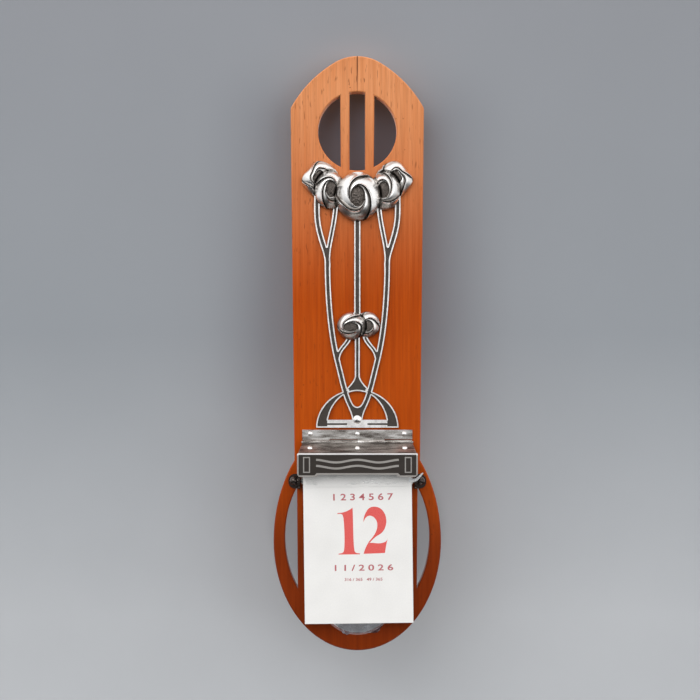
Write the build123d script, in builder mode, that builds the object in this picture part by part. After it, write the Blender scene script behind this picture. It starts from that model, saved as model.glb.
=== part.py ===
import os
from math import atan2, cos, degrees, hypot, pi, radians, sin, sqrt

from build123d import *

os.makedirs("parts", exist_ok=True)

# A wall calendar: a pierced wooden board, a silver mount of roses, and a hinged
# clip over a tear-off block that two ball-headed screws hold from the sides.
# x runs to the right, z up, and the wall is the plane y = 0. The front faces -y.
# The origin is the centre of the hanging hole, on the back of the board.

# Board outline
board_thick = 9.0
tip_rise = 14.9
shoulder_drop = 36.0
shoulder_half = 42.7
arch_radius = 77.4
tip_round = 28.0
shoulder_round = 5.0
neck_half = 39.6
egg_upper = 78.1
egg_lower = 70.1
board_foot_margin = 19.1
edge_chamfer = 0.7

# Board openings
rondel_drop = 35.9
rondel_radius = 25.2
rondel_bar_inner = 5.0
rondel_bar_top = 6.0
rondel_bar_foot = 5.5
rail_gap_top = 4.4
rail_gap_foot = 3.5
crescent_width = 7.6
ring_width = 7.2
ring_foot_width = 15.0
loop_rise = 2.5
window_half = 24.5
window_top_rise = 26.2
window_foot_wall = 9.9

# Clearances
nail_clear = 0.05
seat_clear = 0.2
overrun = 5.0

# Hanger
hanger_length = 30.0
hanger_height = 12.0
hanger_thick = 1.2
hanger_hole = 3.0
hanger_pocket = 5.0
hanger_pocket_depth = 4.0
hanger_screw_half = 10.5
hanger_screw_shank = 1.1
hanger_screw_head = 2.2
hanger_screw_length = 6.5

# Silver mount
mount_base_drop = 225.6
mount_half = 26.3
mount_top_drop = 55.1
stem_thick = 1.8
stem_rim = 0.8
stem_groove = 0.7
stem_width = 3.5
inner_stem_width = 2.9
branch_width = 2.7
centre_stem_width = 3.9
centre_stem_foot_width = 3.1
foot_rise = 24.5
foot_inner_half = 19.2
foot_inner_rise = 23.4
foot_bar = 5.0
foot_lip = 1.7
foot_line = 1.1
foot_plain = 13.0
outer_stem_shares = [(0.978, 0.876), (0.983, 0.827), (0.966, 0.774), (0.910, 0.729), (0.818, 0.681),
                     (0.740, 0.639), (0.723, 0.598)]
inner_stem_shares = [(0.526, 0.834), (0.569, 0.774), (0.637, 0.718), (0.696, 0.669), (0.715, 0.617)]
main_stem_shares = [(0.727, 0.658), (0.718, 0.549), (0.684, 0.455), (0.623, 0.365), (0.521, 0.275),
                    (0.428, 0.215), (0.350, 0.166), (0.297, 0.136), (0.234, 0.106), (0.153, 0.078),
                    (0.083, 0.050), (0.054, 0.024)]
branch_shares = [(0.180, 0.343), (0.307, 0.309), (0.423, 0.285), (0.477, 0.258), (0.448, 0.223)]
flare_shares = [(0.056, 0.211), (0.078, 0.183), (0.161, 0.163), (0.297, 0.140)]
wedge_shares = [(0.190, 0.115), (0.120, 0.092), (0.060, 0.081), (0.0, 0.078)]
wedge_foot_share = (0.120, 0.024)
centre_stem_top_share = 0.850
centre_stem_mid_share = 0.400
centre_stem_foot_share = 0.146

# Roses: place in shares of the mount, half width, half height, rise and turn
rose_places = {
    "rose_centre": (0.017, 0.866),
    "rose_inner_left": (-0.664, 0.890),
    "rose_inner_right": (0.674, 0.887),
    "rose_small_left": (-0.144, 0.381),
    "rose_small_right": (0.246, 0.387),
}
centre_rose_half = 14.3
centre_rose_tall = 15.7
centre_rose_rise = 8.5
inner_rose_half = 9.9
inner_rose_tall = 12.3
inner_rose_rise = 7.0
small_rose_half = 9.1
small_rose_tall = 8.9
small_rose_rise = 6.5
rear_rose_half = 8.0
rear_rose_tall = 8.2
rear_rose_rise = 5.5
bud_rise = 5.5
bud_round = 2.5
bud_shares = [(0.973, 0.998), (1.355, 0.928), (1.022, 0.866), (0.426, 0.898), (0.474, 0.955)]
bud_heart_half = 5.6
bud_heart_tall = 7.2
bud_heart_share = 0.72
bud_heart_place_share = (0.985, 0.932)
dome_share = 0.8
dome_limit_share = 0.5
core_half_share = 0.30
core_tall_share = 0.38
core_depth_share = 0.45
petal_size_shares = (0.82, 0.60)
petal_shift_shares = (0.12, 0.18)
petal_level_shares = (0.58, 0.78)
petal_turn = 150
bevel_share = 0.4

# Studs and nails of the mount
stud_radius = 0.75
stud_length = 5.0
mount_nail_share = 0.030
nail_shank = 0.8
nail_length = 7.0
nail_head = 1.75
nail_head_rise = 1.1
mount_nail_head = 2.7

# Clip: fixed strip and hinge
flange_over = 0.8
flange_gap = 1.4
flange_height = 7.9
flange_thick = 1.0
flange_nail_inset = 5.2
flange_nail_place = 2.6
hinge_out = 1.9
knuckle_radius = 1.7
knuckle_gap = 0.3
knuckle_count = 4
pin_radius = 0.8
pin_fixed_clear = 0.03
pin_running_clear = 0.06
pin_end = 0.4

# Clip: lid
cover_thick = 1.0
cover_depth = 15.5
cover_drop = 6.6
cover_inset = 0.6
plate_over = 3.6
plate_thick = 1.2
plate_top_over = 0.6
plate_height = 15.0
plate_ear_width = 12.0
plate_ear_drop = 1.4
plate_top_round = 1.0
plate_foot_round = 2.4
plate_rim = 1.0
plate_rim_rise = 0.6
wave_inset = 12.0
wave_height = 0.85
wave_length = 27.0
wave_width = 1.3
wave_drops = (5.0, 8.8)
wave_steps = 32
frame_side_gap = 3.8
frame_width = 4.4
frame_height = 10.0
frame_top_gap = 2.4
frame_wall = 0.7
return_thick = 1.0
return_depth = 6.0
return_top_gap = 1.5
return_foot_gap = 1.9
strip_inset = 2.2
strip_thick = 0.8
strip_start = 3.6
strip_length = 9.0
rivet_inset = 3.0
rivet_shank = 0.8
rivet_tail = 1.4
rivet_tail_rise = 0.6

# Calendar block
pad_gap = 0.3
pad_below_hinge = 7.7
pad_half = 34.4
pad_length = 106.6
pad_tilt = 0.74
card_thick = 1.5
block_thick = 8.0
leaf_thick = 0.3
leaf_gap = 0.05
binding_height = 20.0
binding_leaf_gap = 0.2
staple_wire = 0.5
staple_half = 6.0
staple_place = 17.0
staple_drop = 7.0
staple_clear = 0.05

# Clear film at the head and the tail of the block
film_thick = 0.3
film_head_inset = 1.4
film_head_drop = 1.0
film_head_length = 18.6
film_head_gap = 0.1
film_tail_left = 16.0
film_tail_right = 17.0
film_tail_length = 8.0
film_tail_gap = 0.1
film_tail_thick = 0.9

# Side brackets and ball-headed screws
screw_below_head = 16.6
screw_out = 5.5
screw_shank = 1.5
ball_radius = 2.6
ball_seat = 0.4
screw_clear = 0.05
screw_tip = 0.9
screw_tip_length = 0.4
foot_radius = 2.3
foot_thick = 0.75
foot_gap = 0.2
screw_travel = 1.0
screw_slack = 0.1
lug_thick = 1.2
lug_out = 8.6
lug_round = 3.0
bracket_width = 7.6
bracket_height = 9.3
bracket_round = 4.2
bracket_top_over = 4.0
bracket_thick = 1.0
bracket_nail_place = 5.2
bracket_nail_head = 1.3

# Places worked out from the sizes above
mount_height = mount_base_drop - mount_top_drop
flange_top_drop = mount_base_drop + flange_gap
flange_nail_drop = flange_top_drop + flange_nail_place
hinge_drop = flange_top_drop + flange_height
pad_top_drop = hinge_drop + pad_below_hinge
screw_drop = pad_top_drop + screw_below_head
flange_half = pad_half + flange_over
flange_nail_half = flange_half - flange_nail_inset
plate_half = pad_half + plate_over
cover_front_half = plate_half - cover_inset
wave_half = plate_half - wave_inset
strip_half = flange_half - strip_inset
rivet_half = strip_half - rivet_inset
film_head_half = pad_half - film_head_inset
rail_half_top = pad_half + rail_gap_top
rail_half_foot = pad_half + rail_gap_foot
loop_half = rail_half_top + crescent_width
egg_half = loop_half + ring_width
loop_height_half = egg_lower + loop_rise - ring_foot_width
tip_z = tip_rise
shoulder_z = tip_rise - shoulder_drop
foot_z = -(pad_top_drop + pad_length + board_foot_margin)
egg_z = foot_z + egg_lower
loop_z = egg_z + loop_rise
mount_z = -mount_base_drop
hinge_y = -(board_thick + hinge_out)
hinge_z = -hinge_drop
cover_run = cover_depth - hinge_out
slope_angle = degrees(atan2(cover_drop, cover_run))
slope_length = hypot(cover_drop, cover_run)
plate_z = hinge_z - cover_drop + plate_top_over
screw_y = -(board_thick + screw_out)
screw_z = -screw_drop
card_front = pad_gap + card_thick
block_front = card_front + block_thick
leaf_front = block_front + leaf_thick
foot_face = pad_half + foot_gap
lug_face = foot_face + foot_thick + screw_travel + screw_slack
ball_x = lug_face + lug_thick + screw_slack + ball_radius
stem_front = board_thick + stem_thick
sides = {"left": -1, "right": 1}


def front(depth):
    return Plane.XZ.offset(depth)


def on_mount(shares, side=1):
    return [(side * across * mount_half, mount_z + up * mount_height) for across, up in shares]


def strip(points, width):
    # A ribbon of one width along a smooth line of points
    near, far = [], []
    last = len(points) - 1
    for index, (x, z) in enumerate(points):
        before = points[max(index - 1, 0)]
        after = points[min(index + 1, last)]
        run = hypot(after[0] - before[0], after[1] - before[1])
        across = (-(after[1] - before[1]) / run, (after[0] - before[0]) / run)
        near.append((x + across[0] * width / 2, z + across[1] * width / 2))
        far.append((x - across[0] * width / 2, z - across[1] * width / 2))
    with BuildLine() as ribbon:
        Spline(*near)
        Line(near[-1], far[-1])
        Spline(*far[::-1])
        Line(far[0], near[0])
    make_face(ribbon.edges())


def polygon(points):
    with BuildLine() as border:
        Polyline(*points, close=True)
    make_face(border.edges())


def save(part, name):
    part.label = name
    export_step(part, "parts/" + name + ".step")


flange_nail_points = [(x, -flange_nail_drop) for x in (-flange_nail_half, 0, flange_nail_half)]
bracket_nail_points = [
    (side * (lug_face + bracket_nail_place), screw_z + bracket_top_over - bracket_height / 2)
    for side in sides.values()
]
mount_nail_point = (0, mount_z + mount_nail_share * mount_height)
stud_points = [on_mount([place])[0] for place in rose_places.values()]

# Two planks, glued edge to edge on the centre line: the outline of the left one is mirrored
with BuildPart() as plank_blank:
    with BuildSketch(Plane.XZ) as outline:
        with BuildLine():
            tip = (0, tip_z)
            shoulder_right = (shoulder_half, shoulder_z)
            shoulder_left = (-shoulder_half, shoulder_z)
            RadiusArc(tip, shoulder_right, arch_radius)
            Polyline(shoulder_right, (neck_half, egg_z), (-neck_half, egg_z), shoulder_left)
            RadiusArc(shoulder_left, tip, arch_radius)
        make_face()
        fillet(outline.vertices().sort_by(Axis.Y)[-1], radius=tip_round)
        for shoulder in (shoulder_left, shoulder_right):
            fillet(outline.vertices().sort_by_distance(shoulder)[0], radius=shoulder_round)
        with BuildLine():
            EllipticalCenterArc((0, egg_z), egg_half, egg_upper, 0, arc_size=180)
            EllipticalCenterArc((0, egg_z), egg_half, egg_lower, 180, arc_size=180)
        make_face()
        with BuildSketch(mode=Mode.PRIVATE) as rondel:
            with Locations((0, -rondel_drop)):
                Circle(rondel_radius)
            bar_top = rondel_radius - rondel_drop + overrun
            bar_foot = -rondel_radius - rondel_drop - overrun
            for bar_side in sides.values():
                with BuildLine():
                    Polyline(
                        (bar_side * rondel_bar_inner, bar_top),
                        (bar_side * (rondel_bar_inner + rondel_bar_top), bar_top),
                        (bar_side * (rondel_bar_inner + rondel_bar_foot), bar_foot),
                        (bar_side * rondel_bar_inner, bar_foot),
                        close=True,
                    )
                make_face(mode=Mode.SUBTRACT)
        add(rondel.sketch, mode=Mode.SUBTRACT)
        with BuildSketch(mode=Mode.PRIVATE) as crescents:
            with Locations((0, loop_z)):
                Ellipse(loop_half, loop_height_half)
            rail_top = loop_z + loop_height_half
            rail_foot = loop_z - loop_height_half
            with BuildLine():
                Polyline((rail_half_top, rail_top), (rail_half_foot, rail_foot),
                         (-rail_half_foot, rail_foot), (-rail_half_top, rail_top), close=True)
            make_face(mode=Mode.SUBTRACT)
        add(crescents.sketch, mode=Mode.SUBTRACT)
        window_foot = foot_z + window_foot_wall
        window_height = egg_z + window_top_rise - window_foot
        with Locations((0, window_foot + window_height / 2)):
            SlotOverall(window_height, 2 * window_half, rotation=90, mode=Mode.SUBTRACT)
        board_middle = (tip_z + foot_z) / 2
        with Locations((-egg_half, board_middle)):
            Rectangle(2 * egg_half, tip_z - foot_z, mode=Mode.INTERSECT)
    extrude(amount=board_thick)
    rim = plank_blank.faces().sort_by(Axis.Y)[0].outer_wire().edges()
    chamfer(rim.filter_by(lambda edge: edge.center().X < -seat_clear), length=edge_chamfer)
    for opening in plank_blank.faces().sort_by(Axis.Y)[0].inner_wires():
        chamfer(opening.edges(), length=edge_chamfer)

for side_name, side in sides.items():
    with BuildPart() as plank:
        if side < 0:
            add(plank_blank.part)
        else:
            mirror(plank_blank.part, about=Plane.YZ)
        with BuildSketch(front(board_thick)):
            with Locations(*flange_nail_points, *bracket_nail_points, mount_nail_point):
                Circle(nail_shank + nail_clear)
        extrude(amount=-(nail_length + nail_clear), mode=Mode.SUBTRACT)
        with BuildSketch(front(board_thick)):
            with Locations(*stud_points):
                Circle(stud_radius + nail_clear)
        extrude(amount=-(stud_length + nail_clear), mode=Mode.SUBTRACT)
        with BuildSketch(Plane.XZ):
            SlotOverall(hanger_length + 2 * seat_clear, hanger_height + 2 * seat_clear)
        extrude(amount=hanger_thick, mode=Mode.SUBTRACT)
        with BuildSketch(Plane.XZ):
            Circle(hanger_pocket)
        extrude(amount=hanger_thick + hanger_pocket_depth, mode=Mode.SUBTRACT)
        with BuildSketch(Plane.XZ):
            with Locations((-hanger_screw_half, 0), (hanger_screw_half, 0)):
                Circle(hanger_screw_shank + nail_clear)
        extrude(amount=hanger_screw_length + nail_clear, mode=Mode.SUBTRACT)
    save(plank.part, "backboard_" + side_name)

# Hanging plate, let in flush with the back
with BuildPart() as hanger_plate:
    with BuildSketch(Plane.XZ):
        SlotOverall(hanger_length, hanger_height)
        Circle(hanger_hole, mode=Mode.SUBTRACT)
    extrude(amount=hanger_thick)
    with Locations(Plane(origin=(-hanger_screw_half, 0, 0), z_dir=(0, 1, 0)),
                   Plane(origin=(hanger_screw_half, 0, 0), z_dir=(0, 1, 0))):
        CounterSinkHole(hanger_screw_shank + nail_clear, hanger_screw_head + nail_clear, depth=hanger_thick)
save(hanger_plate.part, "hanger_plate")

# Its two countersunk screws
with BuildPart() as hanger_screws:
    head_depth = hanger_screw_head - hanger_screw_shank
    for screw_x in (-hanger_screw_half, hanger_screw_half):
        with BuildSketch(Plane(origin=(screw_x, 0, 0), x_dir=(1, 0, 0), z_dir=(0, 0, 1))) as screw_half:
            with BuildLine():
                Polyline((0, 0), (hanger_screw_head, 0), (hanger_screw_shank, -head_depth),
                         (hanger_screw_shank, -hanger_screw_length), (0, -hanger_screw_length), close=True)
            make_face()
        revolve(axis=Axis((screw_x, 0, 0), (0, 1, 0)))
save(hanger_screws.part, "hanger_screws")


def rose_outline(name, grow=0):
    half, tall = rose_sizes[name][:2]
    with Locations(on_mount([rose_places[name]])[0]):
        Ellipse(half + grow, tall + grow)


rose_sizes = {
    "rose_centre": (centre_rose_half, centre_rose_tall, centre_rose_rise, 20),
    "rose_inner_left": (inner_rose_half, inner_rose_tall, inner_rose_rise, 75),
    "rose_inner_right": (inner_rose_half, inner_rose_tall, inner_rose_rise, -40),
    "rose_small_left": (small_rose_half, small_rose_tall, small_rose_rise, 10),
    "rose_small_right": (rear_rose_half, rear_rose_tall, rear_rose_rise, 60),
}
rose_fronts = {
    "rose_centre": [],
    "rose_inner_left": ["rose_centre"],
    "rose_inner_right": ["rose_centre"],
    "rose_small_left": [],
    "rose_small_right": ["rose_small_left"],
}

def petal_step(level, border_half, border_tall, heart, heart_half, heart_tall, border):
    # Cuts the petals round a heart down to a level above the board
    with BuildSketch(front(board_thick + level)) as step:
        with Locations(border):
            Ellipse(border_half + overrun, border_tall + overrun)
        with Locations(heart):
            Ellipse(heart_half, heart_tall, mode=Mode.SUBTRACT)
    extrude(step.sketch, amount=border_half, mode=Mode.SUBTRACT)


# Round roses: a rounded oval stepped back in two shifted ovals, with an oval core, and cut back
# under the rose in front
for rose_name, (half, tall, rise, turn) in rose_sizes.items():
    centre = on_mount([rose_places[rose_name]])[0]
    with BuildPart() as rose:
        with BuildSketch(front(board_thick)):
            rose_outline(rose_name)
        extrude(amount=rise)
        round_off = min(rise * dome_share, half * dome_limit_share)
        fillet(rose.faces().sort_by(Axis.Y)[0].edges(), radius=round_off)
        petals = zip(petal_size_shares, petal_shift_shares, petal_level_shares)
        for petal, (size_share, shift_share, level_share) in enumerate(petals):
            angle = radians(turn + petal * petal_turn)
            heart = (centre[0] + shift_share * half * cos(angle), centre[1] + shift_share * half * sin(angle))
            petal_step(level_share * rise, half, tall, heart, size_share * half, size_share * tall, centre)
        with BuildSketch(front(board_thick + rise)):
            with Locations(heart):
                Ellipse(core_half_share * half, core_tall_share * tall)
        extrude(amount=-rise * core_depth_share, mode=Mode.SUBTRACT)
        for name_in_front in rose_fronts[rose_name]:
            with BuildSketch(front(board_thick)):
                rose_outline(name_in_front)
            extrude(amount=rise, mode=Mode.SUBTRACT)
    save(rose.part, rose_name)

# Outer buds: pointed, and behind the inner roses
for side_name, side in sides.items():
    with BuildPart() as bud:
        with BuildSketch(front(board_thick)) as bud_sketch:
            polygon(on_mount(bud_shares, side))
            fillet(bud_sketch.vertices(), radius=bud_round)
        extrude(amount=bud_rise)
        chamfer(bud.faces().sort_by(Axis.Y)[0].edges(), length=bud_rise * bevel_share)
        bud_heart = on_mount([bud_heart_place_share], side)[0]
        petal_step(bud_rise * bud_heart_share, mount_half, mount_half, bud_heart, bud_heart_half,
                   bud_heart_tall, bud_heart)
        with BuildSketch(front(board_thick)):
            rose_outline("rose_inner_" + side_name)
            rose_outline("rose_centre")
        extrude(amount=bud_rise, mode=Mode.SUBTRACT)
    save(bud.part, "rose_outer_" + side_name)

# Stem frame: grooved ribbons on a half-round foot
with BuildPart() as stem_frame:
    with BuildSketch(front(board_thick)) as stems:
        with BuildLine():
            EllipticalCenterArc((0, mount_z), mount_half, foot_rise, 0, arc_size=180)
            Line((-mount_half, mount_z), (mount_half, mount_z))
        make_face()
        with BuildSketch(mode=Mode.PRIVATE) as foot_inside:
            with Locations((0, mount_z)):
                Ellipse(foot_inner_half, foot_inner_rise)
            with Locations((0, mount_z + foot_bar / 2)):
                Rectangle(2 * mount_half, foot_bar, mode=Mode.SUBTRACT)
            with Locations((0, mount_z - mount_half / 2)):
                Rectangle(2 * mount_half, mount_half, mode=Mode.SUBTRACT)
        add(foot_inside.sketch, mode=Mode.SUBTRACT)
        for side in sides.values():
            strip(on_mount(outer_stem_shares, side), stem_width)
            strip(on_mount(inner_stem_shares, side), inner_stem_width)
            strip(on_mount(main_stem_shares, side), stem_width)
            strip(on_mount(branch_shares, side), branch_width)
        wedge_right = on_mount(wedge_shares)
        wedge_left = on_mount(wedge_shares[:-1], -1)
        wedge_foot = on_mount([wedge_foot_share], -1) + on_mount([wedge_foot_share])
        with BuildLine():
            Spline(*wedge_right, *wedge_left[::-1])
            Polyline(wedge_left[0], *wedge_foot, wedge_right[0])
        make_face()
        flare_right = on_mount(flare_shares)
        flare_left = on_mount(flare_shares, -1)
        with BuildLine():
            Spline(*flare_right)
            Line(flare_right[-1], flare_left[-1])
            Spline(*flare_left[::-1])
            Line(flare_left[0], flare_right[0])
        make_face()
        stem_top = mount_z + centre_stem_top_share * mount_height
        stem_mid = mount_z + centre_stem_mid_share * mount_height
        stem_foot = mount_z + centre_stem_foot_share * mount_height
        with Locations((0, (stem_top + stem_mid) / 2)):
            Rectangle(centre_stem_width, stem_top - stem_mid)
        with Locations((0, (stem_mid + stem_foot) / 2)):
            Rectangle(centre_stem_foot_width, stem_mid - stem_foot)
    extrude(amount=stem_thick)
    with BuildSketch(front(stem_front)) as grooves:
        # A raised rim of one width is left along the whole outline
        add(stems.sketch_local)
        for outline_edge in stems.sketch_local.edges():
            with BuildSketch(mode=Mode.PRIVATE) as rim_line:
                trace(outline_edge, 2 * stem_rim)
            add(rim_line.sketch, mode=Mode.SUBTRACT)
        with Locations(*[(corner.X, corner.Y) for corner in stems.sketch_local.vertices()]):
            Circle(stem_rim, mode=Mode.SUBTRACT)
        # Only one fine line runs along the foot bar, on either side of its plain middle
        with Locations((0, mount_z + foot_lip / 2)):
            Rectangle(2 * foot_inner_half, foot_lip, mode=Mode.SUBTRACT)
        with Locations((0, mount_z + (foot_lip + foot_line + foot_bar) / 2)):
            Rectangle(2 * foot_inner_half, foot_bar - foot_lip - foot_line, mode=Mode.SUBTRACT)
        with Locations((0, mount_z + foot_bar / 2)):
            Rectangle(foot_plain, foot_bar, mode=Mode.SUBTRACT)
    extrude(amount=-stem_groove, mode=Mode.SUBTRACT)
    with BuildSketch(front(board_thick)):
        for rose_name in rose_sizes:
            rose_outline(rose_name)
        for side in sides.values():
            polygon(on_mount(bud_shares, side))
        with Locations(mount_nail_point):
            Circle(nail_shank + nail_clear)
    extrude(amount=stem_thick, mode=Mode.SUBTRACT)
centre_stem, stem_branches = stem_frame.part.solids().sort_by(SortBy.VOLUME)[-2:]
save(Part(centre_stem.wrapped), "centre_stem")
save(Part(stem_branches.wrapped), "stem_frame")

# Studs on the back of the flowers
with BuildPart() as mount_studs:
    with BuildSketch(front(board_thick)):
        with Locations(*stud_points):
            Circle(stud_radius)
    extrude(amount=-stud_length)
save(mount_studs.part, "mount_studs")


def dome_nail(place, head, shank, depth, tail=0, tail_rise=0):
    # Half section, turned about the y axis of its plane: a domed head on the x axis, the shank
    # below it and, on a rivet, a flat tail
    dome_radius = (head**2 + nail_head_rise**2) / (2 * nail_head_rise)
    half_angle = atan2(head, dome_radius - nail_head_rise) / 2
    dome_middle = (dome_radius * sin(half_angle), nail_head_rise - dome_radius * (1 - cos(half_angle)))
    with BuildLine() as profile:
        ThreePointArc((0, nail_head_rise), dome_middle, (head, 0))
        if tail:
            Polyline((head, 0), (shank, 0), (shank, -depth), (tail, -depth), (tail, -depth - tail_rise),
                     (0, -depth - tail_rise), (0, nail_head_rise))
        else:
            Polyline((head, 0), (shank, 0), (shank, -depth), (0, -depth), (0, nail_head_rise))
    with BuildSketch(place) as half_section:
        make_face(profile.edges())
    revolve(half_section.sketch, axis=Axis(place.origin, place.y_dir))


def face_nail(point, seat, head, depth):
    place = Plane(origin=(point[0], -seat, point[1]), x_dir=(1, 0, 0), z_dir=(0, 0, -1))
    dome_nail(place, head, nail_shank, depth)


with BuildPart() as mount_nail:
    face_nail(mount_nail_point, stem_front, mount_nail_head, stem_thick + nail_length)
save(mount_nail.part, "mount_nail")

with BuildPart() as flange_nails:
    for point in flange_nail_points:
        face_nail(point, board_thick + flange_thick, nail_head, flange_thick + nail_length)
save(flange_nails.part, "flange_nails")

with BuildPart() as bracket_nails:
    for point in bracket_nail_points:
        face_nail(point, board_thick + bracket_thick, bracket_nail_head, bracket_thick + nail_length)
save(bracket_nails.part, "bracket_nails")

# Hinge knuckles alternate between the fixed strip and the lid
knuckle_pitch = 2 * flange_half / knuckle_count
knuckle_length = knuckle_pitch - knuckle_gap
knuckle_centres = [-flange_half + (index + 0.5) * knuckle_pitch for index in range(knuckle_count)]
hinge_plane = Plane(origin=(0, hinge_y, hinge_z), x_dir=(0, -1, 0), z_dir=(1, 0, 0))


def knuckles(centres):
    for centre in centres:
        with BuildSketch(hinge_plane.offset(centre - knuckle_length / 2)) as section:
            Circle(knuckle_radius)
        extrude(section.sketch, amount=knuckle_length)


def hinge_bore(clear):
    with BuildSketch(hinge_plane.offset(-flange_half - overrun)) as section:
        Circle(pin_radius + clear)
    extrude(section.sketch, amount=2 * (flange_half + overrun), mode=Mode.SUBTRACT)


with BuildPart() as clip_flange:
    flange_foot = hinge_z + knuckle_radius + knuckle_gap
    flange_top = -flange_top_drop
    with BuildSketch(front(board_thick)):
        with Locations((0, (flange_top + flange_foot) / 2)):
            Rectangle(2 * flange_half, flange_top - flange_foot)
        for centre in knuckle_centres[0::2]:
            with Locations((centre, (flange_foot + hinge_z) / 2)):
                Rectangle(knuckle_length, flange_foot - hinge_z)
        with Locations(*flange_nail_points):
            Circle(nail_shank + nail_clear, mode=Mode.SUBTRACT)
    extrude(amount=flange_thick)
    knuckles(knuckle_centres[0::2])
    hinge_bore(pin_fixed_clear)
save(clip_flange.part, "clip_flange")

with BuildPart() as hinge_pin:
    with BuildSketch(hinge_plane.offset(-flange_half - pin_end)):
        Circle(pin_radius)
    extrude(amount=2 * (flange_half + pin_end))
save(hinge_pin.part, "hinge_pin")

# Lid: a sloping sheet that widens to the front plate
slope_plane = Plane(
    origin=(0, hinge_y, hinge_z),
    x_dir=(1, 0, 0),
    z_dir=(0, sin(radians(slope_angle)), -cos(radians(slope_angle))),
)
slope_start = knuckle_radius + knuckle_gap
rivet_place = strip_start + strip_length / 2
rivet_points = [(x, rivet_place) for x in (-rivet_half, 0, rivet_half)]
plate_back = board_thick + cover_depth

with BuildPart() as clip_cover:
    with BuildSketch(slope_plane.offset(-cover_thick / 2)):
        slope_end = slope_length + overrun
        with BuildLine():
            Polyline(
                (-flange_half, slope_start), (flange_half, slope_start), (cover_front_half, slope_length),
                (cover_front_half, slope_end), (-cover_front_half, slope_end), (-cover_front_half, slope_length),
                close=True,
            )
        make_face()
        for centre in knuckle_centres[1::2]:
            with Locations((centre, (slope_start + pin_radius) / 2)):
                Rectangle(knuckle_length, slope_start - pin_radius + knuckle_gap)
        with Locations(*rivet_points):
            Circle(rivet_shank + nail_clear, mode=Mode.SUBTRACT)
    extrude(amount=cover_thick)
    split(bisect_by=front(plate_back), keep=Keep.BOTTOM)
    knuckles(knuckle_centres[1::2])
    hinge_bore(pin_running_clear)
save(clip_cover.part, "clip_cover")

# Strip riveted under the lid
with BuildPart() as inner_strip:
    with BuildSketch(slope_plane.offset(cover_thick / 2)):
        with Locations((0, rivet_place)):
            Rectangle(2 * strip_half, strip_length)
        with Locations(*rivet_points):
            Circle(rivet_shank + nail_clear, mode=Mode.SUBTRACT)
    extrude(amount=strip_thick)
save(inner_strip.part, "inner_strip")

with BuildPart() as cover_rivets:
    for x, y in rivet_points:
        head_seat = slope_plane.from_local_coords(Vector(x, y, -cover_thick / 2))
        place = Plane(origin=head_seat, x_dir=(1, 0, 0), z_dir=slope_plane.y_dir)
        dome_nail(place, nail_head, rivet_shank, cover_thick + strip_thick, rivet_tail, rivet_tail_rise)
save(cover_rivets.part, "cover_rivets")


def plate_outline(inset=0):
    # Ears hang a little lower than the middle of the plate
    half = plate_half - inset
    top = plate_z - inset
    ear_foot = plate_z - plate_height + inset
    middle_foot = ear_foot + plate_ear_drop
    ear_inner = plate_half - plate_ear_width + inset
    ear_start = ear_inner - plate_ear_drop
    polygon([
        (-half, top), (half, top), (half, ear_foot), (ear_inner, ear_foot), (ear_start, middle_foot),
        (-ear_start, middle_foot), (-ear_inner, ear_foot), (-half, ear_foot),
    ])


with BuildPart() as front_plate:
    with BuildSketch(front(plate_back)) as plate_sketch:
        plate_outline()
        corners = plate_sketch.vertices().group_by(Axis.Y)
        fillet(corners[-1], radius=plate_top_round)
        fillet(plate_sketch.vertices().group_by(Axis.Y)[0].sort_by(Axis.X)[0], radius=plate_foot_round)
        fillet(plate_sketch.vertices().group_by(Axis.Y)[0].sort_by(Axis.X)[-1], radius=plate_foot_round)
    extrude(amount=plate_thick + plate_rim_rise)
    plate_face = plate_back + plate_thick
    with BuildSketch(front(plate_face)):
        plate_outline(plate_rim)
        for drop in wave_drops:
            wave = []
            for step in range(wave_steps + 1):
                x = -wave_half + 2 * wave_half * step / wave_steps
                wave.append((x, plate_z - drop + wave_height * cos(2 * pi * x / wave_length)))
            with BuildSketch(mode=Mode.PRIVATE) as rib:
                strip(wave, wave_width)
            add(rib.sketch, mode=Mode.SUBTRACT)
        for side in sides.values():
            frame_x = side * (plate_half - frame_side_gap - frame_width / 2)
            frame_z = plate_z - frame_top_gap - frame_height / 2
            with Locations((frame_x, frame_z)):
                Rectangle(frame_width, frame_height, mode=Mode.SUBTRACT)
                Rectangle(frame_width - 2 * frame_wall, frame_height - 2 * frame_wall)
    extrude(amount=plate_rim_rise, mode=Mode.SUBTRACT)
    return_top = plate_z - return_top_gap
    return_foot = plate_z - plate_height + return_foot_gap
    with BuildSketch(front(plate_back)):
        for side in sides.values():
            with Locations((side * (plate_half - return_thick / 2), (return_top + return_foot) / 2)):
                Rectangle(return_thick, return_top - return_foot)
    extrude(amount=-return_depth)
save(front_plate.part, "front_plate")

# Calendar block, hanging a little askew
tilt = radians(pad_tilt)
pad_reach = screw_drop - pad_top_drop
pad_x = -pad_reach * sin(tilt)


def pad_plane(depth):
    return Plane(
        origin=(pad_x, -(board_thick + depth), -pad_top_drop),
        x_dir=(cos(tilt), 0, sin(tilt)),
        z_dir=(0, -1, 0),
    )


staple_legs = [
    (place + leg, -staple_drop)
    for place in (-staple_place, staple_place)
    for leg in (-staple_half, staple_half)
]


def sheet(depth, thick, width, top, length, holes):
    with BuildSketch(pad_plane(depth)) as leaf:
        with Locations((0, top - length / 2)):
            Rectangle(width, length)
        if holes:
            with Locations(*staple_legs):
                Circle(staple_wire / 2 + staple_clear, mode=Mode.SUBTRACT)
    extrude(leaf.sketch, amount=thick)


with BuildPart() as pad_card:
    sheet(pad_gap, card_thick, 2 * pad_half, 0, pad_length, True)
save(pad_card.part, "pad_card")

with BuildPart() as page_block:
    sheet(card_front, block_thick, 2 * pad_half, 0, pad_length, True)
save(page_block.part, "page_block")

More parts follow.
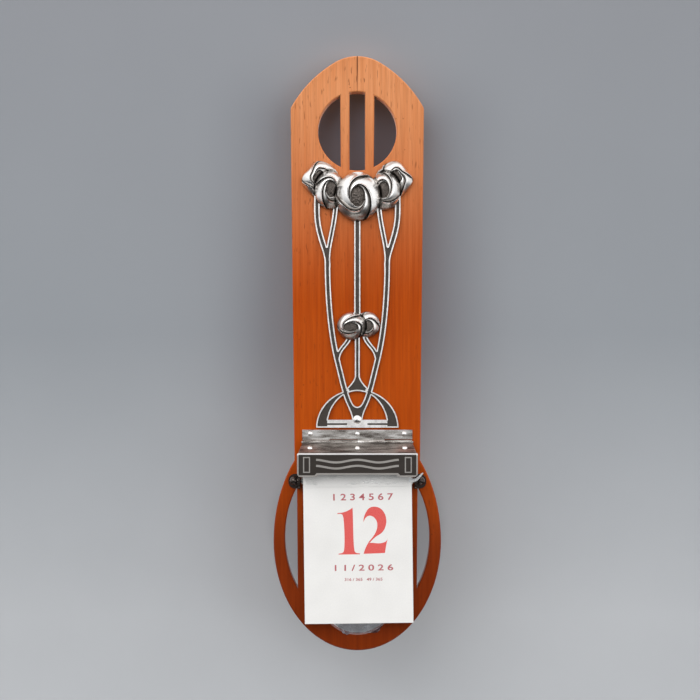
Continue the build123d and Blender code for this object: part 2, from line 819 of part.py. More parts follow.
with BuildPart() as binding_strip:
    sheet(block_front, leaf_thick, 2 * pad_half, 0, binding_height, True)
save(binding_strip.part, "binding_strip")

with BuildPart() as front_page:
    page_top = -binding_height - binding_leaf_gap
    sheet(block_front + leaf_gap, leaf_thick - leaf_gap, 2 * pad_half, page_top, pad_length + page_top, False)
save(front_page.part, "front_page")

with BuildPart() as staples:
    with BuildSketch(pad_plane(pad_gap)):
        with Locations(*staple_legs):
            Circle(staple_wire / 2)
    extrude(amount=leaf_front - pad_gap)
    with BuildSketch(pad_plane(leaf_front)):
        with Locations((-staple_place, -staple_drop), (staple_place, -staple_drop)):
            SlotOverall(2 * staple_half + staple_wire, staple_wire)
    extrude(amount=staple_wire)
save(staples.part, "staples")

# Clear film left at the head and the tail of the block
with BuildPart() as wrapper_film_head:
    film_back = leaf_front + staple_wire + film_head_gap
    sheet(film_back, film_thick, 2 * film_head_half, -film_head_drop, film_head_length, False)
save(wrapper_film_head.part, "wrapper_film_head")

with BuildPart() as wrapper_film_tail:
    with BuildSketch(pad_plane(pad_gap)):
        with BuildLine():
            tail_top = -pad_length - film_tail_gap
            Polyline((-film_tail_left, tail_top), (film_tail_right, tail_top),
                     (film_tail_right / 2, tail_top - film_tail_length),
                     (-film_tail_left / 2, tail_top - film_tail_length), close=True)
        make_face()
    extrude(amount=film_tail_thick)
save(wrapper_film_tail.part, "wrapper_film_tail")

# Side brackets, ball-headed screws and the feet between screw and block
for side_name, side in sides.items():
    bracket_middle = screw_z + bracket_top_over - bracket_height / 2
    with BuildPart() as bracket:
        with BuildSketch(front(board_thick)) as bracket_foot:
            with Locations((side * (lug_face + bracket_width / 2), bracket_middle)):
                Rectangle(bracket_width, bracket_height)
            foot_corners = bracket_foot.vertices().group_by(Axis.X)
            fillet(foot_corners[-1 if side > 0 else 0], radius=bracket_round)
            with Locations(*bracket_nail_points):
                Circle(nail_shank + nail_clear, mode=Mode.SUBTRACT)
        extrude(amount=bracket_thick)
        lug_plane = Plane(origin=(side * lug_face, -board_thick, bracket_middle), x_dir=(0, -side, 0),
                          z_dir=(side, 0, 0))
        with BuildSketch(lug_plane) as lug:
            with Locations((side * lug_out / 2, 0)):
                Rectangle(lug_out, bracket_height)
            lug_corners = lug.vertices().group_by(Axis.X)
            fillet(lug_corners[-1 if side > 0 else 0], radius=lug_round)
        extrude(amount=lug_thick)
        screw_plane = Plane(origin=(0, screw_y, screw_z), x_dir=(0, -side, 0), z_dir=(side, 0, 0))
        with BuildSketch(screw_plane.offset(lug_face - overrun)):
            Circle(screw_shank + screw_clear)
        extrude(amount=2 * overrun, mode=Mode.SUBTRACT)
    save(bracket.part, "bracket_" + side_name)

    with BuildPart() as clamp_screw:
        shank_end = foot_face + foot_thick + screw_clear
        tip_end = shank_end - screw_tip_length
        screw_end = ball_x + ball_seat
        screw_section = Plane(origin=(0, screw_y, screw_z), x_dir=(side, 0, 0), z_dir=(0, 0, side))
        with BuildSketch(screw_section):
            with BuildLine():
                Polyline((screw_end, 0), (tip_end, 0), (tip_end, screw_tip), (shank_end, screw_tip),
                         (shank_end, screw_shank), (screw_end, screw_shank), close=True)
            make_face()
        revolve(axis=Axis((0, screw_y, screw_z), (side, 0, 0)))
    save(clamp_screw.part, "clamp_screw_" + side_name)

    with BuildPart() as clamp_ball:
        ball_bore = screw_shank + screw_clear
        bore_end = screw_end + screw_clear
        neck_x = ball_x - sqrt(ball_radius**2 - ball_bore**2)
        with BuildSketch(screw_section):
            with BuildLine():
                Polyline((ball_x + ball_radius, 0), (bore_end, 0), (bore_end, ball_bore), (neck_x, ball_bore))
                ThreePointArc((neck_x, ball_bore), (ball_x, ball_radius), (ball_x + ball_radius, 0))
            make_face()
        revolve(axis=Axis((0, screw_y, screw_z), (side, 0, 0)))
    save(clamp_ball.part, "clamp_ball_" + side_name)

    with BuildPart() as screw_foot:
        with BuildSketch(screw_plane.offset(foot_face)):
            Circle(foot_radius)
        extrude(amount=foot_thick)
        with BuildSketch(screw_plane.offset(foot_face + foot_thick)):
            Circle(screw_tip + screw_clear)
        extrude(amount=-(screw_tip_length), mode=Mode.SUBTRACT)
    save(screw_foot.part, "screw_foot_" + side_name)
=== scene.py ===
import math

import bmesh
import bpy
from mathutils import Matrix, Vector, noise


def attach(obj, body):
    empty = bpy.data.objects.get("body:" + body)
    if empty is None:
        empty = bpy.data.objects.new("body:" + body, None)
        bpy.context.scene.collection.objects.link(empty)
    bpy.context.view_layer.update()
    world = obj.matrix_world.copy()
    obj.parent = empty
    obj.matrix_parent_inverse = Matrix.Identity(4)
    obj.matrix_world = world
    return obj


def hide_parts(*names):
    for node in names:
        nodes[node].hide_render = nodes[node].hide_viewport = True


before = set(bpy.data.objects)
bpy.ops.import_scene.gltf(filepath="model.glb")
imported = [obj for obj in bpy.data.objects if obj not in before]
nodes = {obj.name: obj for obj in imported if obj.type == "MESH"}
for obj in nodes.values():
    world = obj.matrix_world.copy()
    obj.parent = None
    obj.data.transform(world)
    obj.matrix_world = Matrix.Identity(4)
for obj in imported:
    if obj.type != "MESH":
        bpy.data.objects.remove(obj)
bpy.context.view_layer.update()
mm = 0.001
print("frame loaded:", len(nodes), "nodes")

# Shared lengths in millimetres: x to the right, z up, the front faces -y
boardFront = 9.0
padTilt = math.radians(0.74)
padHead = Vector((-0.2144, 0, -242.6))
pageFront = 19.1

# Most values of a noise texture lie between these two
noiseLow, noiseHigh = 0.3, 0.7


def linear(code):
    # sRGB hex to a linear colour
    channels = [int(code[start:start + 2], 16) / 255 for start in (1, 3, 5)]
    return tuple(c / 12.92 if c <= 0.04045 else ((c + 0.055) / 1.055) ** 2.4 for c in channels) + (1.0,)


def newMaterial(name):
    material = bpy.data.materials.new(name)
    material.use_nodes = True
    material.node_tree.nodes.clear()
    return material, material.node_tree


def addNode(tree, kind, settings=None):
    # A setting is a link, a colour ramp's stops, a property of the node, or else a socket's value
    node = tree.nodes.new("ShaderNode" + kind)
    for key, value in (settings or {}).items():
        if isinstance(value, bpy.types.NodeSocket):
            tree.links.new(value, node.inputs[key])
        elif key == "stops":
            stops = node.color_ramp.elements
            for place, _ in value[2:]:
                stops.new(place)
            for stop, (place, code) in zip(stops, sorted(value)):
                stop.position, stop.color = place, linear(code)
        elif isinstance(key, str) and hasattr(node, key):
            setattr(node, key, value)
        else:
            node.inputs[key].default_value = value
    return node.outputs


# Varnished fruitwood, planed and oiled: upright grain, short dark pores, a paler head that is partly painted
# sheen, and a redder foot painted darker as painted shade
woodLook = {
    "head": [(0.30, "#CC7C48"), (0.70, "#E09766")],
    "body": [(0.30, "#A23E05"), (0.70, "#BA500C")],
    "foot": [(0.30, "#6A2405"), (0.70, "#82310A")],
    "pore": "#4E210C",
    "crack": "#35150A",
    "streak": (420, 420, 11),  # bands about 2 mm wide and 90 mm long
    "fibre": (1500, 1500, 40),  # fibres drawn at 0.7 mm so that they show
    "pores": (900, 900, 130),  # flecks about 1 mm by 7 mm
    "knots": 150,  # worm dots, 6 mm apart at the closest
    "clouds": 16.0,  # patches about 60 mm across
    # The head is paler, partly lighter wood and partly painted sheen, and the foot is painted darker as painted
    # shade
    "paleWoodAndSheenHeights": (-0.15, 0.0),  # metres between which the body turns into the head
    "paintedFootShadeHeights": (-0.23, -0.31),
    "seam": (0.00015, 0.0006),  # metres from the glue line, dark and clear
    "seamHeights": (-0.012, 0.004),
    "fibreShade": 0.22,
    "markShade": 0.6,
    "rough": (0.32, 0.42),
    "shine": 0.08,
}


def makeWood():
    look = woodLook
    material, tree = newMaterial("varnishedFruitwood")
    place = addNode(tree, "TexCoord")["Object"]
    axes = addNode(tree, "SeparateXYZ", {0: place})
    streakPlace = addNode(tree, "Mapping", {"Vector": place, "Scale": look["streak"]})[0]
    streak = addNode(tree, "TexNoise", {"Vector": streakPlace, "Scale": 1.0, "Detail": 4.0,
                                        "Roughness": 0.6})["Fac"]
    fibrePlace = addNode(tree, "Mapping", {"Vector": place, "Scale": look["fibre"]})[0]
    fibre = addNode(tree, "TexNoise", {"Vector": fibrePlace, "Scale": 1.0, "Detail": 2.0})["Fac"]
    porePlace = addNode(tree, "Mapping", {"Vector": place, "Scale": look["pores"]})[0]
    poreNoise = addNode(tree, "TexNoise", {"Vector": porePlace, "Scale": 1.0, "Detail": 1.0})["Fac"]
    cloud = addNode(tree, "TexNoise", {"Vector": place, "Scale": look["clouds"], "Detail": 2.0})["Fac"]
    # Pores and worm dots, thicker in some patches than in others
    patches = addNode(tree, "MapRange", {0: cloud, 1: 0.42, 2: 0.62, 3: 0.15, 4: 1.0})[0]
    pores = addNode(tree, "MapRange", {0: poreNoise, 1: 0.64, 2: 0.74})[0]
    pores = addNode(tree, "Math", {"operation": "MULTIPLY", 0: pores, 1: patches})[0]
    cells = addNode(tree, "TexVoronoi", {"Vector": place, "Scale": look["knots"]})["Distance"]
    dots = addNode(tree, "MapRange", {0: cells, 1: 0.05, 2: 0.085, 3: 1.0, 4: 0.0})[0]
    dots = addNode(tree, "Math", {"operation": "MULTIPLY", 0: dots, 1: patches})[0]
    marks = addNode(tree, "Math", {"operation": "MAXIMUM", 0: pores, 1: dots})[0]
    # Three colours, one above the other: a paler head that is partly painted sheen, and a darker foot that is
    # painted shade
    tone = addNode(tree, "Mix", {"data_type": "FLOAT", 0: 0.4, 2: streak, 3: cloud})[0]
    head = addNode(tree, "ValToRGB", {0: tone, "stops": look["head"]})[0]
    body = addNode(tree, "ValToRGB", {0: tone, "stops": look["body"]})[0]
    foot = addNode(tree, "ValToRGB", {0: tone, "stops": look["foot"]})[0]
    low, high = look["paleWoodAndSheenHeights"]
    paleWoodAndSheenShare = addNode(tree, "MapRange", {"interpolation_type": "SMOOTHSTEP", 0: axes["Z"],
                                           1: low, 2: high})[0]
    high, low = look["paintedFootShadeHeights"]
    paintedFootShadeShare = addNode(tree, "MapRange", {"interpolation_type": "SMOOTHSTEP", 0: axes["Z"],
                                           1: high, 2: low})[0]
    colour = addNode(tree, "Mix", {"data_type": "RGBA", 0: paleWoodAndSheenShare, 6: body, 7: head})[2]
    colour = addNode(tree, "Mix", {"data_type": "RGBA", 0: paintedFootShadeShare, 6: colour, 7: foot})[2]
    fibreShade = addNode(tree, "MapRange", {0: fibre, 1: 0.4, 2: 0.8, 3: 0.0, 4: look["fibreShade"]})[0]
    colour = addNode(tree, "Mix", {"data_type": "RGBA", 0: fibreShade, 6: colour, 7: linear(look["pore"])})[2]
    markShade = addNode(tree, "Math", {"operation": "MULTIPLY", 0: marks, 1: look["markShade"]})[0]
    colour = addNode(tree, "Mix", {"data_type": "RGBA", 0: markShade, 6: colour, 7: linear(look["pore"])})[2]
    # The glue line has opened at the tip
    fromSeam = addNode(tree, "Math", {"operation": "ABSOLUTE", 0: axes["X"]})[0]
    dark, clear = look["seam"]
    seam = addNode(tree, "MapRange", {0: fromSeam, 1: dark, 2: clear, 3: 1.0, 4: 0.0})[0]
    low, high = look["seamHeights"]
    opened = addNode(tree, "MapRange", {0: axes["Z"], 1: low, 2: high, 3: 0.1, 4: 0.85})[0]
    crack = addNode(tree, "Math", {"operation": "MULTIPLY", 0: seam, 1: opened})[0]
    colour = addNode(tree, "Mix", {"data_type": "RGBA", 0: crack, 6: colour, 7: linear(look["crack"])})[2]
    smooth, dull = look["rough"]
    rough = addNode(tree, "MapRange", {0: cloud, 1: noiseLow, 2: noiseHigh, 3: smooth, 4: dull})[0]
    height = addNode(tree, "Math", {"operation": "SUBTRACT", 0: fibre, 1: marks})[0]
    bump = addNode(tree, "Bump", {"Strength": 0.25, "Distance": 0.00012, "Height": height})[0]
    shader = addNode(tree, "BsdfPrincipled", {"Base Color": colour, "Roughness": rough, "Normal": bump,
                                              "Specular IOR Level": look["shine"]})
    addNode(tree, "OutputMaterial", {"Surface": shader[0]})
    return material


# Cast and oxidised silver: bright where hands rub it, grey-brown in the hollows, with tarnished blotches; the
# plate's top rim and the roses also carry painted highlights and painted shade.
# hollow: depths in millimetres that are dark and bright; the plate's pair of heights: above it the top rim gets
# a painted highlight, below it the plate is painted duller
silverLooks = {
    "silverFlowers": {"wear": "wear", "scale": (260, 260, 260), "rough": (0.46, 0.26), "mottle": (0.86, 1.0)},
    "silverStems": {"hollow": (10.2, 10.7), "least": 0.22, "scale": (300, 300, 300), "rough": (0.55, 0.48),
                    "mottle": (0.8, 1.0)},
    "silverPlate": {"hollow": (25.6, 26.2), "least": 0.09, "highlightHeights": (-242.6, -242.0), "dull": 0.64,
                    "scale": (90, 300, 300), "rough": (0.45, 0.52), "mottle": (0.9, 1.0)},
    "silverStrip": {"scale": (70, 380, 420), "rough": (0.5, 0.4), "mottle": (0.22, 0.84)},
    "silverLid": {"scale": (60, 300, 380), "rough": (0.46, 0.3), "mottle": (0.14, 0.66)},
    "silverNails": {"scale": (500, 500, 500), "rough": (0.3, 0.2), "mottle": (0.85, 1.0)},
}
silverStops = [(0.0, "#1E1B1A"), (0.3, "#5F5853"), (0.65, "#B2ADA8"), (1.0, "#F6F4F2")]
silverGrit = {"scale": 1800.0, "share": 0.25, "span": (0.36, 0.6)}  # casting grit of about 0.5 mm


def makeSilver(name):
    look = silverLooks[name]
    material, tree = newMaterial(name)
    place = addNode(tree, "TexCoord")["Object"]
    blotchPlace = addNode(tree, "Mapping", {"Vector": place, "Scale": look["scale"]})[0]
    blotch = addNode(tree, "TexNoise", {"Vector": blotchPlace, "Scale": 1.0, "Detail": 4.0,
                                        "Roughness": 0.65})["Fac"]
    grit = addNode(tree, "TexNoise", {"Vector": place, "Scale": silverGrit["scale"], "Detail": 2.0})["Fac"]
    mixed = addNode(tree, "Mix", {"data_type": "FLOAT", 0: silverGrit["share"], 2: blotch, 3: grit})[0]
    low, high = silverGrit["span"]
    dull, clean = look["mottle"]
    wear = addNode(tree, "MapRange", {0: mixed, 1: low, 2: high, 3: dull, 4: clean})[0]
    if "hollow" in look:
        axes = addNode(tree, "SeparateXYZ", {0: place})
        deep, proud = (-depth * mm for depth in look["hollow"])
        silverBrightness = addNode(tree, "MapRange", {0: axes["Y"], 1: deep, 2: proud, 3: look["least"], 4: 1.0})[0]
        wear = addNode(tree, "Math", {"operation": "MULTIPLY", 0: wear, 1: silverBrightness})[0]
        if "highlightHeights" in look:
            # Painted highlight: above these heights the plate's top rim is painted brighter, where it catches
            # the light, and below them it is painted duller
            low, high = (height * mm for height in look["highlightHeights"])
            rimHighlight = addNode(tree, "MapRange", {0: axes["Z"], 1: low, 2: high, 3: look["dull"], 4: 1.0})[0]
            wear = addNode(tree, "Math", {"operation": "MULTIPLY", 0: wear, 1: rimHighlight})[0]
    elif "wear" in look:
        # The roses' tone attribute holds painted shade and painted highlights besides oxide and rubbing
        silverBrightness = addNode(tree, "Attribute", {"attribute_name": look["wear"]})["Fac"]
        wear = addNode(tree, "Math", {"operation": "MULTIPLY", 0: wear, 1: silverBrightness})[0]
    colour = addNode(tree, "ValToRGB", {0: wear, "stops": silverStops})[0]
    rough = addNode(tree, "MapRange", {0: wear, 3: look["rough"][0], 4: look["rough"][1]})[0]
    bump = addNode(tree, "Bump", {"Strength": 0.2, "Distance": 0.00012, "Height": mixed})[0]
    shader = addNode(tree, "BsdfPrincipled", {"Base Color": colour, "Roughness": rough, "Normal": bump,
                                              "Metallic": 1.0})
    addNode(tree, "OutputMaterial", {"Surface": shader[0]})
    return material


# Smaller metals: forged and blacked steel, drawn steel wire, stamped brass
metalLooks = {
    "blackedSteel": {"stops": [(0.3, "#2A2422"), (0.7, "#544A45")],
                     "rough": (0.36, 0.14), "metal": 0.8, "scale": 450},
    "drawnSteel": {"stops": [(0.3, "#8C8C8A"), (0.7, "#C2C2BE")],
                   "rough": (0.45, 0.25), "metal": 1.0, "scale": 500},
    "stampedBrass": {"stops": [(0.3, "#7A5A24"), (0.7, "#B08A42")],
                     "rough": (0.5, 0.3), "metal": 1.0, "scale": 300},
}


def makeMetal(name):
    look = metalLooks[name]
    material, tree = newMaterial(name)
    place = addNode(tree, "TexCoord")["Object"]
    grime = addNode(tree, "TexNoise", {"Vector": place, "Scale": look["scale"], "Detail": 4.0})["Fac"]
    colour = addNode(tree, "ValToRGB", {0: grime, "stops": look["stops"]})[0]
    dull, smooth = look["rough"]
    rough = addNode(tree, "MapRange", {0: grime, 1: noiseLow, 2: noiseHigh, 3: dull, 4: smooth})[0]
    bump = addNode(tree, "Bump", {"Strength": 0.15, "Distance": 0.0001, "Height": grime})[0]
    shader = addNode(tree, "BsdfPrincipled", {"Base Color": colour, "Roughness": rough, "Normal": bump,
                                              "Metallic": look["metal"]})
    addNode(tree, "OutputMaterial", {"Surface": shader[0]})
    return material


# Uncoated paper and grey card: faint fibres, and leaf lines on the cut edges of the block
paperLooks = {
    "uncoatedPaper": {"stops": [(0.35, "#E2E0DD"), (0.65, "#EAE8E5")], "leaf": 0.0},
    "cutLeaves": {"stops": [(0.35, "#E4E3E1"), (0.65, "#F2F1EF")], "leaf": 0.3},
    "greyCard": {"stops": [(0.35, "#8F897F"), (0.65, "#A8A297")], "leaf": 0.0},
}
# Lines of 0.2 mm, coarser than real leaves so that they show
leafLines = {"scale": (8, 6000, 8), "colour": "#8E8A84"}
paperRough, paperShine = (0.62, 0.78), 0.2


def makePaper(name):
    look = paperLooks[name]
    material, tree = newMaterial(name)
    place = addNode(tree, "TexCoord")["Object"]
    fibre = addNode(tree, "TexNoise", {"Vector": place, "Scale": 1200.0, "Detail": 4.0})["Fac"]
    cloud = addNode(tree, "TexNoise", {"Vector": place, "Scale": 45.0, "Detail": 2.0})["Fac"]
    tone = addNode(tree, "Mix", {"data_type": "FLOAT", 0: 0.6, 2: fibre, 3: cloud})[0]
    colour = addNode(tree, "ValToRGB", {0: tone, "stops": look["stops"]})[0]
    leafPlace = addNode(tree, "Mapping", {"Vector": place, "Scale": leafLines["scale"]})[0]
    leaf = addNode(tree, "TexNoise", {"Vector": leafPlace, "Scale": 1.0, "Detail": 1.0})["Fac"]
    leafShade = addNode(tree, "MapRange", {0: leaf, 1: 0.45, 2: 0.7, 3: 0.0, 4: look["leaf"]})[0]
    colour = addNode(tree, "Mix", {"data_type": "RGBA", 0: leafShade, 6: colour,
                                   7: linear(leafLines["colour"])})[2]
    smooth, dull = paperRough
    rough = addNode(tree, "MapRange", {0: fibre, 1: noiseLow, 2: noiseHigh, 3: smooth, 4: dull})[0]
    bump = addNode(tree, "Bump", {"Strength": 0.12, "Distance": 0.0001, "Height": fibre})[0]
    shader = addNode(tree, "BsdfPrincipled", {"Base Color": colour, "Roughness": rough, "Normal": bump,
                                              "Specular IOR Level": paperShine})
    addNode(tree, "OutputMaterial", {"Surface": shader[0]})
    return material


# Printing ink, pressed into the paper: slightly uneven where the fibres took it
inkLooks = {
    "redInk": [(0.35, "#D65450"), (0.65, "#E06662")],
    "smallInk": [(0.35, "#A8545A"), (0.65, "#C07478")],
}
inkRough, inkShine = (0.55, 0.75), 0.2


def makeInk(name):
    material, tree = newMaterial(name)
    place = addNode(tree, "TexCoord")["Object"]
    speck = addNode(tree, "TexNoise", {"Vector": place, "Scale": 2200.0, "Detail": 3.0})["Fac"]
    colour = addNode(tree, "ValToRGB", {0: speck, "stops": inkLooks[name]})[0]
    smooth, dull = inkRough
    rough = addNode(tree, "MapRange", {0: speck, 1: noiseLow, 2: noiseHigh, 3: smooth, 4: dull})[0]
    bump = addNode(tree, "Bump", {"Strength": 0.1, "Distance": 0.00005, "Height": speck})[0]
    shader = addNode(tree, "BsdfPrincipled", {"Base Color": colour, "Roughness": rough, "Normal": bump,
                                              "Specular IOR Level": inkShine})
    addNode(tree, "OutputMaterial", {"Surface": shader[0]})
    return material


# Clear cellophane: glossy and colourless, milky only along its creases; the tail's sheet is painted dark and
# nearly opaque as painted shade, for the shadow behind the block's foot
filmLooks = {
    "headCellophane": {"alpha": (0.02, 0.3), "stops": [(0.5, "#8F9397"), (0.66, "#F4F5F5")],
                       "scale": (45, 45, 150)},
    # Painted shade: dark and nearly opaque, for the shadow behind the block's foot
    "tailCellophaneShaded": {"alpha": (0.6, 0.85), "stops": [(0.42, "#33363F"), (0.66, "#A2A6AE")],
                       "scale": (160, 160, 220)},
    "tornCellophane": {"alpha": (0.75, 0.95), "stops": [(0.4, "#E4E6E8"), (0.7, "#F6F7F7")],
                       "scale": (300, 300, 300)},
}
filmRough, filmIor = (0.08, 0.2), 1.47


def makeFilm(name):
    look = filmLooks[name]
    material, tree = newMaterial(name)
    place = addNode(tree, "TexCoord")["Object"]
    creasePlace = addNode(tree, "Mapping", {"Vector": place, "Scale": look["scale"],
                                            "Rotation": (0.0, 0.7, 0.0)})[0]
    crease = addNode(tree, "TexNoise", {"Vector": creasePlace, "Scale": 1.0, "Detail": 3.0,
                                        "Distortion": 0.6})["Fac"]
    colour = addNode(tree, "ValToRGB", {0: crease, "stops": look["stops"]})[0]
    clear, milky = look["alpha"]
    alpha = addNode(tree, "MapRange", {0: crease, 1: 0.5, 2: 0.72, 3: clear, 4: milky})[0]
    smooth, dull = filmRough
    rough = addNode(tree, "MapRange", {0: crease, 1: noiseLow, 2: noiseHigh, 3: smooth, 4: dull})[0]
    bump = addNode(tree, "Bump", {"Strength": 0.4, "Distance": 0.0004, "Height": crease})[0]
    shader = addNode(tree, "BsdfPrincipled", {"Base Color": colour, "Alpha": alpha, "Roughness": rough,
                                              "Normal": bump, "Specular IOR Level": 0.5, "IOR": filmIor})
    addNode(tree, "OutputMaterial", {"Surface": shader[0]})
    return material


looks = {"varnishedFruitwood": makeWood()}
for makeLook, names in ((makeSilver, silverLooks), (makeMetal, metalLooks), (makePaper, paperLooks),
                        (makeInk, inkLooks), (makeFilm, filmLooks)):
    looks.update({name: makeLook(name) for name in names})
nodeLooks = {
    "varnishedFruitwood": ["backboard_left", "backboard_right"],
    "silverStrip": ["clip_flange", "inner_strip"],
    "silverLid": ["clip_cover"],
    "silverStems": ["stem_frame", "centre_stem"],
    "silverPlate": ["front_plate"],
    "silverNails": ["mount_nail", "flange_nails", "cover_rivets"],
    "blackedSteel": ["bracket_left", "bracket_right", "bracket_nails", "clamp_screw_left",
                     "clamp_screw_right", "clamp_ball_left", "clamp_ball_right"],
    "drawnSteel": ["hinge_pin", "staples", "hanger_screws", "screw_foot_left", "screw_foot_right",
                   "mount_studs"],
    "stampedBrass": ["hanger_plate"],
    "uncoatedPaper": ["binding_strip", "front_page"],
    "cutLeaves": ["page_block"],
    "greyCard": ["pad_card"],
}
for look, names in nodeLooks.items():
    for name in names:
        nodes[name].data.materials.clear()
        nodes[name].data.materials.append(looks[look])
print("materials set:", len(looks))


def newPiece(name, mesh, look, body, replaced=()):
    piece = bpy.data.objects.new(name, mesh)
    bpy.context.scene.collection.objects.link(piece)
    mesh.materials.clear()
    mesh.materials.append(looks[look])
    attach(piece, body)
    if replaced:
        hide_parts(*replaced)
    return piece


def meshFrom(name, shape, smooth=True):
    mesh = bpy.data.meshes.new(name)
    shape.to_mesh(mesh)
    shape.free()
    for polygon in mesh.polygons:
        polygon.use_smooth = smooth
    return mesh


def step(value, low, high):
    share = min(max((value - low) / (high - low), 0.0), 1.0)
    return share * share * (3 - 2 * share)


# Rounded edges: hand-sanded wood and cast or folded metal, each with the width of its rounding in millimetres
softEdges = {
    "boardLeft": {"node": "backboard_left", "look": "varnishedFruitwood", "body": "holder",
                  "slot": "fruitwood", "width": 1.3},
    "boardRight": {"node": "backboard_right", "look": "varnishedFruitwood", "body": "holder",
                   "slot": "fruitwood", "width": 1.3},
    "stems": {"node": "stem_frame", "look": "silverStems", "body": "holder",
              "slot": "silver", "width": 0.34},
    "centreStem": {"node": "centre_stem", "look": "silverStems", "body": "holder",
                   "slot": "silver", "width": 0.34},
    "clipStrip": {"node": "clip_flange", "look": "silverStrip", "body": "holder",
                  "slot": "silver", "width": 0.22},
    "clipLid": {"node": "clip_cover", "look": "silverLid", "body": "lid",
                "slot": "silver", "width": 0.2},
    "clipFront": {"node": "front_plate", "look": "silverPlate", "body": "lid",
                  "slot": "silver", "width": 0.42},
}
# Edges sharper than this are rounded, unless they are shorter than this share of the width
rounding = {"sharp": math.radians(35), "shortest": 0.7, "segments": 2, "flat": math.radians(0.5)}


def makeSoftEdge(name, soft):
    shape = bmesh.new()
    shape.from_mesh(nodes[soft["node"]].data)
    bmesh.ops.remove_doubles(shape, verts=shape.verts, dist=1e-6)
    bmesh.ops.dissolve_limit(shape, angle_limit=rounding["flat"], verts=shape.verts, edges=shape.edges)
    weight = shape.edges.layers.float.new("bevel_weight_edge")
    shortest = soft["width"] * rounding["shortest"] * mm
    for edge in shape.edges:
        # The glue line keeps its flush joint
        glued = soft["slot"] == "fruitwood" and all(abs(vertex.co.x) < 0.01 * mm for vertex in edge.verts)
        if edge.calc_face_angle(0.0) > rounding["sharp"]:
            rounded = edge.is_convex and not glued and edge.calc_length() > shortest
            edge[weight] = 1.0 if rounded else 0.0
            edge.smooth = rounded
    piece = newPiece(name, meshFrom(name, shape), soft["look"], soft["body"], (soft["node"],))
    bevel = piece.modifiers.new("roundedEdge", "BEVEL")
    bevel.limit_method, bevel.width, bevel.segments = "WEIGHT", soft["width"] * mm, rounding["segments"]
    faces = piece.modifiers.new("flatFaces", "WEIGHTED_NORMAL")
    faces.mode, faces.weight, faces.keep_sharp = "FACE_AREA", 100, True
    return piece


for name, soft in softEdges.items():
    makeSoftEdge(name, soft)
print("edges rounded:", len(softEdges))

# Roses: a ball of petals, each petal with one free rim that winds in to a dark heart.
# Heights are shares of the rise, and lengths along a petal run from 0 at its own rim to 1 under the next
roseLook = {
    "segments": 216, "rings": 150, "frontRings": 138,
    "turnIn": (58, 105),  # degrees that a rim winds in, over the whole rose and close to the heart
    "edge": 0.26, "fullness": 0.55,  # height of the dome at its border, and how full it is
    "lift": 0.3, "wall": 0.945,  # how far a petal sinks, and where it climbs back to the next rim
    "bead": 0.09, "rim": 0.12,  # height and length of the raised rim
    "border": (0.3, 0.75),  # share of the relief left at the border, and where it begins to fade
    "pit": 0.36, "bulge": 0.08, "pitted": 0.02, "grain": 7.0,  # floor of the heart
    "tucked": 0.28, "tuck": (0.99, 1.12),  # height left under a rose in front, and where it ends
}
# Tone of the silver, from rubbing and oxide and from painted light and shade: 0 is dark and 1 is bright
roseWearAndShade = {
    # fade and groove: painted shade toward and in the crease under the next rim, over the oxide there; rim:
    # rubbing and a painted highlight on the raised rim; the undersides' share and heights: painted shade
    "fade": 0.2, "rim": 0.3, "underShade": 0.32, "below": (-0.3, -0.75),
    "groove": 0.65, "grooveAt": 0.925, "grooveLength": 0.045,
    "heart": 0.26, "heartGrain": 0.14, "back": 0.3, "least": 0.05,
}
ovalBorder = [(angle, 1.0) for angle in range(0, 360, 45)]
budBorder = [(-4, 11.6), (40, 9.4), (82, 11.4), (120, 11.2), (162, 12.1), (205, 14.1), (240, 11.6),
             (284, 11.8), (322, 10.6)]
roses = {
    "roseCentre": {
        "node": "rose_centre", "place": (0.45, -77.95), "size": (14.3, 15.7), "rise": 8.5, "hand": 1,
        "core": 0.4, "rims": (60, 183, 295), "shift": (-0.02, -0.02), "stretch": (0.85, 1.15), "fronts": []},
    "roseInnerLeft": {
        "node": "rose_inner_left", "place": (-17.46, -73.86), "size": (9.9, 12.3), "rise": 7.0, "hand": -1,
        "core": 0.42, "rims": (165, -15, -105), "shift": (0.15, 0.05), "stretch": (0.9, 1.1),
        "fronts": ["roseCentre"]},
    "roseInnerRight": {
        "node": "rose_inner_right", "place": (17.73, -74.37), "size": (9.9, 12.3), "rise": 7.0, "hand": -1,
        "core": 0.42, "rims": (98, -20, -150), "shift": (-0.15, 0.05), "stretch": (0.9, 1.1),
        "fronts": ["roseCentre"]},
    "roseSmallLeft": {
        "node": "rose_small_left", "place": (-3.79, -160.6), "size": (9.1, 8.9), "rise": 6.5, "hand": 1,
        "core": 0.42, "rims": (50, 190, 310), "shift": (-0.06, -0.12), "stretch": (1.3, 0.85), "fronts": []},
    "roseSmallRight": {
        "node": "rose_small_right", "place": (6.47, -159.6), "size": (8.0, 8.2), "rise": 5.5, "hand": 1,
        "core": 0.44, "rims": (-8, 110, 215), "shift": (0.1, -0.2), "stretch": (0.95, 1.05),
        "fronts": ["roseSmallLeft"]},
    # The buds' borders are in millimetres, and the left one is the mirrored right one
    "budLeft": {
        "node": "rose_outer_left", "place": (-24.0, -66.6), "size": (-1.0, 1.0), "rise": 5.5, "hand": -1,
        "core": 0.42, "rims": (85, -10, -170), "shift": (0.6, 0.6), "stretch": (0.9, 1.1),
        "fronts": ["roseInnerLeft", "roseCentre"], "border": budBorder},
    "budRight": {
        "node": "rose_outer_right", "place": (24.0, -66.6), "size": (1.0, 1.0), "rise": 5.5, "hand": 1,
        "core": 0.42, "rims": (0, 130, 285), "shift": (0.6, 0.6), "stretch": (0.9, 1.1),
        "fronts": ["roseInnerRight", "roseCentre"], "border": budBorder},
}


